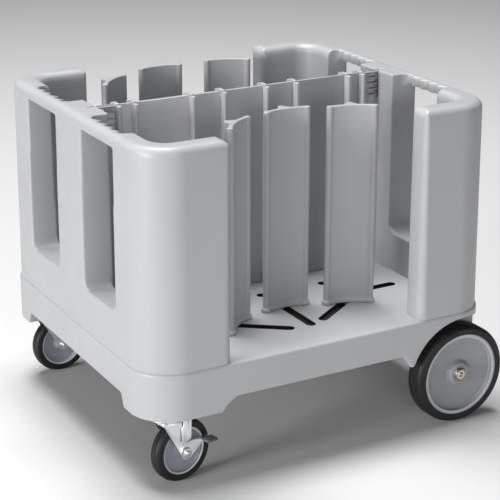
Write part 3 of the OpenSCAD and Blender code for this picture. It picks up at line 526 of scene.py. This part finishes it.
def rung_tree():
    """Rungs one under another below each point."""
    tree, start, end = tree_with_inputs("rungs", [
        ("Count", "NodeSocketInt", RUNG_COUNT), ("Pitch", "NodeSocketFloat", RUNG_PITCH * MM),
        ("Rung", "NodeSocketVector", None), ("Paint", "NodeSocketMaterial", None),
    ])
    drop = tree.nodes.new("ShaderNodeCombineXYZ")
    back = tree.nodes.new("ShaderNodeMath")
    back.operation = "MULTIPLY"
    back.inputs[1].default_value = -1
    column = tree.nodes.new("GeometryNodeMeshLine")
    rung = tree.nodes.new("GeometryNodeMeshCube")
    rows = tree.nodes.new("GeometryNodeInstanceOnPoints")
    spread_out = tree.nodes.new("GeometryNodeInstanceOnPoints")
    solid = tree.nodes.new("GeometryNodeRealizeInstances")
    paint = tree.nodes.new("GeometryNodeSetMaterial")
    link = tree.links.new
    link(start.outputs["Pitch"], back.inputs[0])
    link(back.outputs[0], drop.inputs["Z"])
    link(drop.outputs["Vector"], column.inputs["Offset"])
    link(start.outputs["Count"], column.inputs["Count"])
    link(start.outputs["Rung"], rung.inputs["Size"])
    link(column.outputs["Mesh"], rows.inputs["Points"])
    link(rung.outputs["Mesh"], rows.inputs["Instance"])
    link(start.outputs["Geometry"], spread_out.inputs["Points"])
    link(rows.outputs["Instances"], spread_out.inputs["Instance"])
    link(spread_out.outputs["Instances"], solid.inputs["Geometry"])
    link(solid.outputs["Geometry"], paint.inputs["Geometry"])
    link(start.outputs["Paint"], paint.inputs["Material"])
    link(paint.outputs["Geometry"], end.inputs["Geometry"])
    return tree


def rung_rows(name, reach, size):
    """Rungs under the panel's top edge at both of its ends, from and to a distance off its middle."""
    middle = (reach[0] + reach[1]) / 2
    top = PANEL_Z[1] - size[1] / 2
    points = [((PANEL_MIDDLE + end * middle) * MM, 0, top * MM) for end in (-1, 1)]
    block = Vector((reach[1] - reach[0], size[0], size[1])) * MM
    rows = grown(name, points, rung_tree(), {"Rung": block, "Paint": moulding})
    settle(edge_rounded(rows, RUNG_EDGE, 3), "divider_panel", "moulding", [moulding])


rung_rows("rungs", (PANEL_END - RUNG_ROOT, RUNG_END), RUNG_SIZE)
rung_rows("rung_ledges", LEDGE_REACH, LEDGE_SIZE)

# Big wheels and axle caps
# Each wheel is a black rubber tyre, with a line moulded in its shoulder and two tread grooves, on a grey
# plastic hub with a rim ring, a shallow dish and a round boss. The ring's side faces are painted lighter as a
# painted highlight, for the light the raised ring catches. The pair turns on the fixed axle, where domed
# steel caps hold it.
TURNED_CREASE = 38
LINE_PLACE = 0.62
GROOVE_PLACE = 0.33
GROOVE_SHAPE = [(-1.1, 0), (-0.5, 0.9), (0.5, 0.9), (1.1, 0)]
RING_FACING = 0.3
RING_MARGIN = 1


def turned(name, profile, steps, place):
    """A closed profile of (radius, depth) points in millimetres, spun about the wheel's axis."""
    work = bmesh.new()
    rings = []
    for i in range(steps):
        angle = 2 * math.pi * i / steps
        x, y = math.cos(angle), math.sin(angle)
        rings.append([work.verts.new((r * MM * x, r * MM * y, z * MM)) for r, z in profile])
    count = len(profile)
    for i in range(steps):
        here, there = rings[i], rings[(i + 1) % steps]
        for j in range(count):
            k = (j + 1) % count
            work.faces.new((here[j], here[k], there[k], there[j]))
    bmesh.ops.remove_doubles(work, verts=work.verts, dist=JOIN_GAP)
    bmesh.ops.recalc_face_normals(work, faces=work.faces)
    bmesh.ops.transform(work, matrix=place, verts=work.verts)
    piece = piece_from(name, work)
    piece.data.shade_smooth()
    piece.data.set_sharp_from_angle(angle=math.radians(TURNED_CREASE))
    return piece


def arc(r, z, radius, start, end, count):
    """Points on an arc in a profile, between two angles in degrees."""
    points = []
    for i in range(count + 1):
        angle = math.radians(start + (end - start) * i / count)
        points.append((r + radius * math.cos(angle), z + radius * math.sin(angle)))
    return points


def tyre_profile(seat, outer, width, shoulder):
    """A tyre section with round shoulders, a fine line in each side and two shallow tread grooves."""
    line = seat + LINE_PLACE * (outer - seat)
    side = [(seat, 0), (line - 1.2, 0), (line - 0.6, 0.7), (line, 0.7), (line + 0.5, 0)]
    side += arc(outer - shoulder, shoulder, shoulder, -78, -8, 10)
    groove = width * GROOVE_PLACE
    side += [(outer - sunk, groove + off) for off, sunk in GROOVE_SHAPE]
    return side + [(outer, width / 2)] + [(r, width - z) for r, z in reversed(side)]


def hub_half(bore, boss, seat, ring, face, dish, boss_face):
    """One side of a hub section, from its seat in to its bore, with a rim ring round a sunk disc."""
    root = seat - ring
    disc = face + dish
    rim = [(seat, face + 1.2), (seat - 0.4, face + 0.4), (seat - 1.2, face), (root + 2.2, face)]
    rim += [(root + 1.0, face + 0.4), (root, face + 1.4), (root - 0.6, face + dish * 0.6)]
    rim += arc(root - 3.6, disc - 3.0, 3.0, 0, 90, 5)
    dip = [(boss + 15, disc), (boss + 11, disc + 1.3), (boss + 7.5, disc + 1.5), (boss + 5, disc - 0.4)]
    shoulder = arc(boss - 4, boss_face + 7, 7, 0, -90, 6)
    return rim + dip + shoulder + [(bore, boss_face)]


def hub_profile(width, **half):
    """A whole hub section, the same on both sides."""
    near = hub_half(**half)
    return near + [(r, width - z) for r, z in reversed(near)]


def ring_highlighted(hub, middle, axis, root, seat):
    """Paints a highlight on a hub's rim ring: gives the side faces of the ring the lighter paint."""
    for face in hub.data.polygons:
        out = face.center - middle
        radius = (out - axis * out.dot(axis)).length / MM
        if root < radius < seat and abs(face.normal.dot(axis)) > RING_FACING:
            face.material_index = 1


def middle_of(node):
    """The middle of a node's box."""
    low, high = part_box(node)
    return (Vector(low) + Vector(high)) / 2


wheel_grey = finish("wheel_grey", (0.27, 0.275, 0.288), 0.44, grain=700, patch=9, patch_mix=0.05)
# A lighter grey laid on the rim rings' side faces: painted highlight.
ring_highlight_grey = finish("ring_highlight_grey", (0.43, 0.435, 0.45), 0.34, grain=900, patch=9, patch_mix=0.04)
rubber = finish("rubber", (0.013, 0.013, 0.0145), 0.48, grain=1100, grain_depth=0.0001, patch=14,
                patch_mix=0.3, specular=0.3)
# The caps' steel is darkened to a brownish tone: a painted reflection of dark surroundings.
dark_reflection_steel = finish("dark_reflection_steel", (0.34, 0.30, 0.26), 0.26, metallic=1.0, grain=500, grain_depth=0.00003,
                   patch=60, patch_mix=0.12)
# A washer, a groove and a domed steel cap, in millimetres from the wheel's outer face.
CAP_PROFILE = [
    (0, -1.8), (4.5, -1.7), (6.4, -1.1), (7.4, 0.1), (7.7, 1.6), (8.8, 2.3), (9.8, 1.4), (10.6, -0.2),
    (13.0, -0.8), (14.8, -0.5), (16.0, 0.4), (16.4, 1.7), (16.4, 3.0), (17.2, 3.5), (18.4, 3.3),
    (20.2, 3.3), (20.8, 3.6), (21, 4.2), (21, 5.6), (10.2, 5.6), (10.2, 3.2), (0, 3.2),
]
CAP_STEPS = 64
BIG_RADIUS = 125
BIG_WIDTH = 54
BIG_SHOULDER = 13
BIG_SEAT = 104
BIG_RING = 9
BIG_STEPS = 128
for side, outward in (("front", 1), ("back", -1)):
    middle = middle_of("big_tyre_" + side)
    turn = Matrix.Rotation(math.radians(-90 * outward), 4, "X")
    place = Matrix.Translation(middle) @ turn @ Matrix.Translation((0, 0, -BIG_WIDTH * MM / 2))
    profile = tyre_profile(BIG_SEAT, BIG_RADIUS, BIG_WIDTH, BIG_SHOULDER)
    tyre = turned("big_tyre_skin_" + side, profile, BIG_STEPS, place)
    settle(tyre, "big_wheel_" + side, "tyre", [rubber], "big_tyre_" + side)
    profile = hub_profile(
        BIG_WIDTH, bore=15, boss=27, seat=BIG_SEAT, ring=BIG_RING, face=2, dish=13, boss_face=4.5
    )
    hub = turned("big_hub_skin_" + side, profile, BIG_STEPS, place)
    settle(hub, "big_wheel_" + side, "wheel", [wheel_grey, ring_highlight_grey], "big_hub_" + side)
    axis = turn.to_3x3() @ Vector((0, 0, 1))
    ring_highlighted(hub, middle, axis, BIG_SEAT - BIG_RING - RING_MARGIN, BIG_SEAT + RING_MARGIN)
    cap = turned("axle_cap_skin_" + side, CAP_PROFILE, CAP_STEPS, place)
    settle(cap, "tray", "zinc", [dark_reflection_steel], "axle_cap_" + side)

# Caster wheels
# The same two sections at their own sizes: rubber tyres on bluish plastic hubs with a thin rim ring, whose
# side faces are painted light as a painted highlight. Each turns on the bolt of its swivel fork.
caster_blue = finish("caster_blue", (0.28, 0.302, 0.34), 0.32, grain=800, patch=12, patch_mix=0.1, coat=0.3)
# A light grey laid on the caster rim rings' side faces: painted highlight.
rim_highlight = finish("rim_highlight", (0.62, 0.63, 0.65), 0.34, grain=900, patch=9, patch_mix=0.04)
CASTER_RADIUS = 76
CASTER_WIDTH = 32
CASTER_SHOULDER = 11
CASTER_SEAT = 58
CASTER_RING = 4.5
CASTER_STEPS = 96
CASTER_HEADINGS = {"front": 10.75, "back": 4.3}
for side, heading in CASTER_HEADINGS.items():
    middle = middle_of("caster_tyre_" + side)
    turn = Matrix.Rotation(math.radians(heading), 4, "Z") @ Matrix.Rotation(math.radians(-90), 4, "X")
    place = Matrix.Translation(middle) @ turn @ Matrix.Translation((0, 0, -CASTER_WIDTH * MM / 2))
    profile = tyre_profile(CASTER_SEAT, CASTER_RADIUS, CASTER_WIDTH, CASTER_SHOULDER)
    tyre = turned("caster_tyre_skin_" + side, profile, CASTER_STEPS, place)
    settle(tyre, "caster_wheel_" + side, "tyre", [rubber], "caster_tyre_" + side)
    profile = hub_profile(
        CASTER_WIDTH, bore=5.05, boss=14, seat=CASTER_SEAT, ring=CASTER_RING, face=2, dish=9, boss_face=1.5
    )
    hub = turned("caster_hub_skin_" + side, profile, CASTER_STEPS, place)
    settle(hub, "caster_wheel_" + side, "wheel", [caster_blue, rim_highlight], "caster_hub_" + side)
    axis = turn.to_3x3() @ Vector((0, 0, 1))
    ring_highlighted(hub, middle, axis, CASTER_SEAT - CASTER_RING - RING_MARGIN, CASTER_SEAT + RING_MARGIN)

# Caster forks, plates and axle hangers
# Pressed and folded steel with a bright zinc plating, its cut edges broken by a small radius. The plates are
# bolted to the lobes and the hangers to the skirt, and the forks swivel under the plates.
zinc = finish("zinc", (0.83, 0.84, 0.86), 0.36, metallic=1.0, grain=260, grain_depth=0.00004, patch=25,
              patch_mix=0.1, scratch=60)
SLOTS = {part["node"]: part["material_slot"] for part in frame["record"]["subparts"]}
BODIES = {
    node: body for body, members in frame["record"]["behaviour"]["bodies"].items() for node in members
}
FLAT_ANGLE = 0.5
STEEL_EDGES = [
    ("fork_front", 0.9), ("fork_back", 0.9), ("caster_plate_front", 0.7), ("caster_plate_back", 0.7),
    ("caster_bolt_back", 0.6), ("axle_hangers", 0.7),
]


def edged_copy(node, width):
    """A node's form with its flat faces made whole and its sharp edges rounded."""
    work = merged(node)
    bmesh.ops.dissolve_limit(work, angle_limit=math.radians(FLAT_ANGLE), verts=work.verts, edges=work.edges)
    return edge_rounded(piece_from(node + "_skin", work), width * MM, 2)


for node, width in STEEL_EDGES:
    settle(edged_copy(node, width), BODIES[node], SLOTS[node], [zinc], node)

# Caster bolt in front
# The front caster wheel turns on this zinc-plated steel bolt. A washer and a domed nut stand on the brake
# lever, which turns on the bolt too.
BOLT_PROFILE = [
    (0, -33.4), (3.2, -33.2), (5.2, -32.2), (6.2, -30.8), (6.4, -29.6), (7.4, -29.4), (7.6, -28.9),
    (11.4, -28.8), (11.9, -28.4), (11.9, -27.6), (5, -27.6), (5, 27), (6.5, 27), (6.5, 28.6), (5.6, 29),
    (0, 29),
]
BOLT_STEPS = 48
front_heading = Matrix.Rotation(math.radians(CASTER_HEADINGS["front"]), 4, "Z")
front_turn = front_heading @ Matrix.Rotation(math.radians(-90), 4, "X")
front_middle = middle_of("caster_tyre_front")
front_place = Matrix.Translation(front_middle) @ front_turn
bolt = turned("caster_bolt_front_skin", BOLT_PROFILE, BOLT_STEPS, front_place)
settle(bolt, "swivel_front", "zinc", [zinc], "caster_bolt_front")

# Brake bracket
# A folded strip of zinc-plated steel with a step in its edge stands on the outer leg of the front fork, above
# the lever. A thin dark layer under its left and right edges is painted shadow, for the shade where the two
# meet.
BRACKET = [(-8.5, 80), (9.5, 80), (9.5, 29.5), (-13, 29.5), (-13, 62), (-8.5, 68)]
BRACKET_DEPTHS = (22.6, 24.2)
BRACKET_EDGE = 0.0005
# the painted shadow: how far it shows past the bracket's left and right sides, its depth and its edge radius
GAP_SHADOW_LEFT = 2.2
GAP_SHADOW_RIGHT = 2
GAP_SHADOW_DEPTH = 0.9
GAP_SHADOW_EDGE = 0.0002
upright = front_heading @ Matrix.Rotation(math.radians(90), 4, "X")
lever_place = Matrix.Translation(front_middle) @ upright


def plate_of(name, outline, low, high, place):
    """A flat plate with straight sides over an outline, in millimetres."""
    work = bmesh.new()
    near = [work.verts.new((u * MM, v * MM, low * MM)) for u, v in outline]
    far = [work.verts.new((u * MM, v * MM, high * MM)) for u, v in outline]
    work.faces.new(near)
    work.faces.new(far)
    for i in range(len(outline)):
        k = (i + 1) % len(outline)
        work.faces.new((near[i], near[k], far[k], far[i]))
    bmesh.ops.recalc_face_normals(work, faces=work.faces)
    bmesh.ops.transform(work, matrix=place, verts=work.verts)
    return piece_from(name, work)


bracket = plate_of("brake_bracket", BRACKET, *BRACKET_DEPTHS, lever_place)
settle(edge_rounded(bracket, BRACKET_EDGE, 2), "swivel_front", "zinc", [zinc])
# The bracket's outline widened at both sides, in the near-black paint: a painted shadow beside its edges.
shadow_outline = [(u - (GAP_SHADOW_LEFT if u < 0 else GAP_SHADOW_RIGHT), v) for u, v in BRACKET]
shadow_strip = plate_of("bracket_gap", shadow_outline, BRACKET_DEPTHS[0], BRACKET_DEPTHS[0] + GAP_SHADOW_DEPTH, lever_place)
settle(edge_rounded(shadow_strip, GAP_SHADOW_EDGE, 1), "swivel_front", "zinc", [painted_shade])

# Brake lever and pedal
# A pressed leaf of zinc-plated steel with a raised rim turns on the caster bolt. Its tip carries a ribbed
# pedal of black plastic, which a foot presses down.
LEVER_OUTLINE = [
    (-16, -4), (-13, -11), (-5, -16), (5, -15.5), (15, -9.5), (25, -1), (36, 7), (48, 12), (60, 16), (62, 24),
    (50, 25), (38, 25), (26, 26.5), (12, 28), (0, 26), (-9, 20), (-14, 11), (-16.5, 3),
]
# how far each loop of the leaf is moved in, and its depth: the back, the side, the rim and the sunk field
LEVER_LAYERS = [(0.5, 23.3), (0, 23.7), (0, 26.9), (0.4, 27.3), (1.8, 27.3), (2.4, 26.8), (3.0, 26.0)]
LEVER_CREASE = 40
CURVE_STEPS = 4


def rounded_loop(points, cuts):
    """A smooth closed curve through points, a few steps to each stretch."""
    loop = []
    count = len(points)
    for i in range(count):
        a, b, c, d = (Vector(points[(i + k - 1) % count]) for k in range(4))
        for s in range(cuts):
            t = s / cuts
            loop.append(0.5 * (2 * b + (c - a) * t + (2 * a - 5 * b + 4 * c - d) * t * t
                               + (3 * b - a - 3 * c + d) * t ** 3))
    return loop


def inset_loop(loop, depth):
    """A closed counter-clockwise curve moved inwards."""
    moved = []
    for i, point in enumerate(loop):
        along = (loop[(i + 1) % len(loop)] - loop[i - 1]).normalized()
        moved.append(point + Vector((-along.y, along.x)) * depth)
    return moved


def loft(name, layers, place):
    """Closed loops of (u, v) points at given depths, joined in order and capped at both ends."""
    work = bmesh.new()
    rings = [[work.verts.new((p.x * MM, p.y * MM, z * MM)) for p in loop] for loop, z in layers]
    for low, high in zip(rings, rings[1:]):
        for i in range(len(low)):
            k = (i + 1) % len(low)
            work.faces.new((low[i], low[k], high[k], high[i]))
    work.faces.new(rings[0])
    work.faces.new(rings[-1])
    bmesh.ops.recalc_face_normals(work, faces=work.faces)
    bmesh.ops.transform(work, matrix=place, verts=work.verts)
    piece = piece_from(name, work)
    piece.data.shade_smooth()
    piece.data.set_sharp_from_angle(angle=math.radians(LEVER_CREASE))
    return piece


leaf = rounded_loop(LEVER_OUTLINE, CURVE_STEPS)
layers = [(inset_loop(leaf, inset), depth) for inset, depth in LEVER_LAYERS]
lever = loft("brake_lever_skin", layers, lever_place)
settle(lever, "brake", "zinc", [zinc], "brake_lever")

pedal_black = finish("pedal_black", (0.095, 0.097, 0.105), 0.42, grain=800, patch=30, patch_mix=0.12)
PEDAL_LOW = (41.0, 17.5, 27.3)
PEDAL_HIGH = (71.0, 26.5, 51.3)
PEDAL_EDGE = 0.0034
PEDAL_RIBS = 5
RIB_STAND = 1.2
RIB_ROOT = 1.6
RIB_WIDTH = 2
RIB_FIRST = 5
RIB_SPARE = 8
RIB_SHORT = 3
RIB_EDGE = 0.0006
work = bmesh.new()
add_block(work, PEDAL_LOW, (PEDAL_HIGH[0], PEDAL_HIGH[1] - RIB_STAND, PEDAL_HIGH[2]))
bmesh.ops.transform(work, matrix=lever_place, verts=work.verts)
paddle = edge_rounded(piece_from("brake_pedal_skin", work), PEDAL_EDGE, 5)
settle(paddle, "brake", "pedal", [pedal_black], "brake_pedal")
work = bmesh.new()
rib_step = (PEDAL_HIGH[0] - PEDAL_LOW[0] - RIB_SPARE) / PEDAL_RIBS
for i in range(PEDAL_RIBS):
    u = PEDAL_LOW[0] + RIB_FIRST + rib_step * i
    low = (u, PEDAL_HIGH[1] - RIB_ROOT, PEDAL_LOW[2] + RIB_SHORT)
    add_block(work, low, (u + RIB_WIDTH, PEDAL_HIGH[1], PEDAL_HIGH[2] - RIB_SHORT))
bmesh.ops.transform(work, matrix=lever_place, verts=work.verts)
ribs = edge_rounded(piece_from("pedal_ribs", work), RIB_EDGE, 2)
settle(ribs, "brake", "pedal", [pedal_black])

# Bolts
# Zinc-plated hex bolts with washers, put in from below. They hold the walls to the deck, the hangers to the
# skirt and the caster plates to the lobes.
BOLT_HEAD = 0.005
BOLT_SHANK = 0.0039
BOLT_EDGE = 0.0004
HEX_SHARE = 0.94
WASHER_HEIGHT = 0.0012


def bolt_tree():
    """A hex head, a washer and a shank at each point, which is the underside of the head."""
    tree, start, end = tree_with_inputs("hex_bolts", [
        ("Head Radius", "NodeSocketFloat", None), ("Head Height", "NodeSocketFloat", BOLT_HEAD),
        ("Washer Radius", "NodeSocketFloat", None), ("Washer Height", "NodeSocketFloat", WASHER_HEIGHT),
        ("Shank Radius", "NodeSocketFloat", BOLT_SHANK), ("Shank Length", "NodeSocketFloat", None),
        ("Paint", "NodeSocketMaterial", None),
    ])
    link = tree.links.new

    def half_of(value):
        node = tree.nodes.new("ShaderNodeMath")
        node.operation = "MULTIPLY"
        node.inputs[1].default_value = 0.5
        link(value, node.inputs[0])
        return node.outputs[0]

    def plus(a, b):
        node = tree.nodes.new("ShaderNodeMath")
        node.operation = "ADD"
        link(a, node.inputs[0])
        link(b, node.inputs[1])
        return node.outputs[0]

    def rod_of(corners, radius, height, foot):
        rod = tree.nodes.new("GeometryNodeMeshCylinder")
        rod.inputs["Vertices"].default_value = corners
        link(radius, rod.inputs["Radius"])
        link(height, rod.inputs["Depth"])
        shift = tree.nodes.new("ShaderNodeCombineXYZ")
        link(plus(half_of(height), foot) if foot else half_of(height), shift.inputs["Z"])
        moved = tree.nodes.new("GeometryNodeTransform")
        link(rod.outputs["Mesh"], moved.inputs["Geometry"])
        link(shift.outputs["Vector"], moved.inputs["Translation"])
        return moved.outputs["Geometry"]

    sizes = start.outputs
    joined = tree.nodes.new("GeometryNodeJoinGeometry")
    foot = sizes["Head Height"]
    head = rod_of(6, sizes["Head Radius"], sizes["Head Height"], None)
    link(head, joined.inputs["Geometry"])
    washer = rod_of(32, sizes["Washer Radius"], sizes["Washer Height"], foot)
    link(washer, joined.inputs["Geometry"])
    shank = rod_of(24, sizes["Shank Radius"], sizes["Shank Length"], foot)
    link(shank, joined.inputs["Geometry"])
    placed = tree.nodes.new("GeometryNodeInstanceOnPoints")
    solid = tree.nodes.new("GeometryNodeRealizeInstances")
    paint = tree.nodes.new("GeometryNodeSetMaterial")
    link(sizes["Geometry"], placed.inputs["Points"])
    link(joined.outputs["Geometry"], placed.inputs["Instance"])
    link(placed.outputs["Instances"], solid.inputs["Geometry"])
    link(solid.outputs["Geometry"], paint.inputs["Geometry"])
    link(sizes["Paint"], paint.inputs["Material"])
    link(paint.outputs["Geometry"], end.inputs["Geometry"])
    return tree


def loose_boxes(node):
    """The box of each separate solid in a node, in the order of its corners."""
    work = merged(node)
    reached = set()
    boxes = []
    for first in work.verts:
        if first in reached:
            continue
        reached.add(first)
        todo = [first]
        low, high = first.co.copy(), first.co.copy()
        while todo:
            vert = todo.pop()
            for k in range(3):
                low[k] = min(low[k], vert.co[k])
                high[k] = max(high[k], vert.co[k])
            for edge in vert.link_edges:
                other = edge.other_vert(vert)
                if other not in reached:
                    reached.add(other)
                    todo.append(other)
        boxes.append((low, high))
    work.free()
    return boxes


bolts = bolt_tree()
for node in ("wall_bolts_left", "wall_bolts_right", "hanger_bolts", "plate_bolts_front", "plate_bolts_back"):
    boxes = loose_boxes(node)
    points = [((low.x + high.x) / 2, (low.y + high.y) / 2, low.z) for low, high in boxes]
    low, high = boxes[0]
    radius = (high.x - low.x) / 2
    grown_bolts = grown(node + "_skin", points, bolts, {
        "Head Radius": radius * HEX_SHARE, "Washer Radius": radius,
        "Shank Length": high.z - low.z - BOLT_HEAD, "Paint": zinc,
    })
    settle(edge_rounded(grown_bolts, BOLT_EDGE, 2), "tray", "zinc", [zinc], node)

# Axle, bushes and guide bolts
# The axle and the guide bolts are turned and plated steel, and the bushes are sintered bearing metal. They
# keep their CAD shapes, and only get finishes here.
bearing = finish("bearing", (0.55, 0.38, 0.18), 0.4, metallic=1.0, grain=1500, patch=40, patch_mix=0.12)
PAINTS = {
    "moulding": moulding, "wheel": wheel_grey, "tyre": rubber, "zinc": zinc, "bush": bearing,
    "pedal": pedal_black,
}
for node, piece in frame["nodes"].items():
    piece.data.materials.clear()
    piece.data.materials.append(PAINTS[SLOTS[node]])

size = {"cad": [list(corner) for corner in cad_box], "visual": [list(corner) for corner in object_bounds()]}
